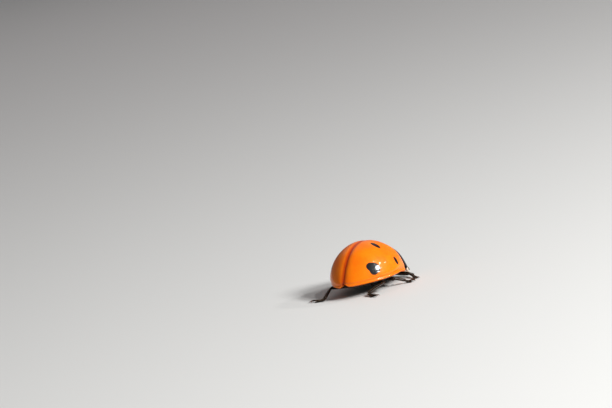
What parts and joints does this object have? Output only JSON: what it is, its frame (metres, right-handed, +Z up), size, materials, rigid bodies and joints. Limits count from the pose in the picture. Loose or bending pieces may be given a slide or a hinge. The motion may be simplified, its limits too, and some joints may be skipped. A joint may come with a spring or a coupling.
{
  "type": "seven-spot ladybird",
  "caption": "Life-size domed ladybird beetle with closed orange wing cases and black spots, standing on its folded jointed legs.",
  "frame": {"origin": "on the floor under the middle of the insect's bounding box", "axes": "+Z up, -Y towards the head, +X towards the insect's own left side"},
  "size_m": [0.0077, 0.008, 0.0038],
  "materials": {
    "wing_case": "glossy orange chitin with black spots",
    "back_plate": "glossy black chitin with whitish front corners",
    "black_shell": "glossy black chitin",
    "underside": "satin black chitin with short pale hairs",
    "eye": "glossy black, finely faceted",
    "feeler": "satin brown chitin",
    "mouthparts": "satin dark brown chitin",
    "leg": "satin black chitin with short hairs"
  },
  "bodies": {
    "root": {"elytron_left": "wing_case", "elytron_right": "wing_case", "scutellum": "black_shell", "pronotum": "back_plate", "prothorax": "underside", "thorax": "underside", "abdomen": "underside", "head": "black_shell", "labrum": "mouthparts", "eye_left": "eye", "eye_right": "eye", "antenna_left": "feeler", "antenna_right": "feeler", "palp_left": "mouthparts", "palp_right": "mouthparts", "femur_front_left": "leg", "tibia_front_left": "leg", "tarsus_front_left": "leg", "femur_front_right": "leg", "tibia_front_right": "leg", "tarsus_front_right": "leg", "femur_middle_left": "leg", "tibia_middle_left": "leg", "tarsus_middle_left": "leg", "femur_middle_right": "leg", "tibia_middle_right": "leg", "tarsus_middle_right": "leg", "femur_hind_left": "leg", "tibia_hind_left": "leg", "tarsus_hind_left": "leg", "femur_hind_right": "leg", "tibia_hind_right": "leg", "tarsus_hind_right": "leg"}
  },
  "joints": []
}
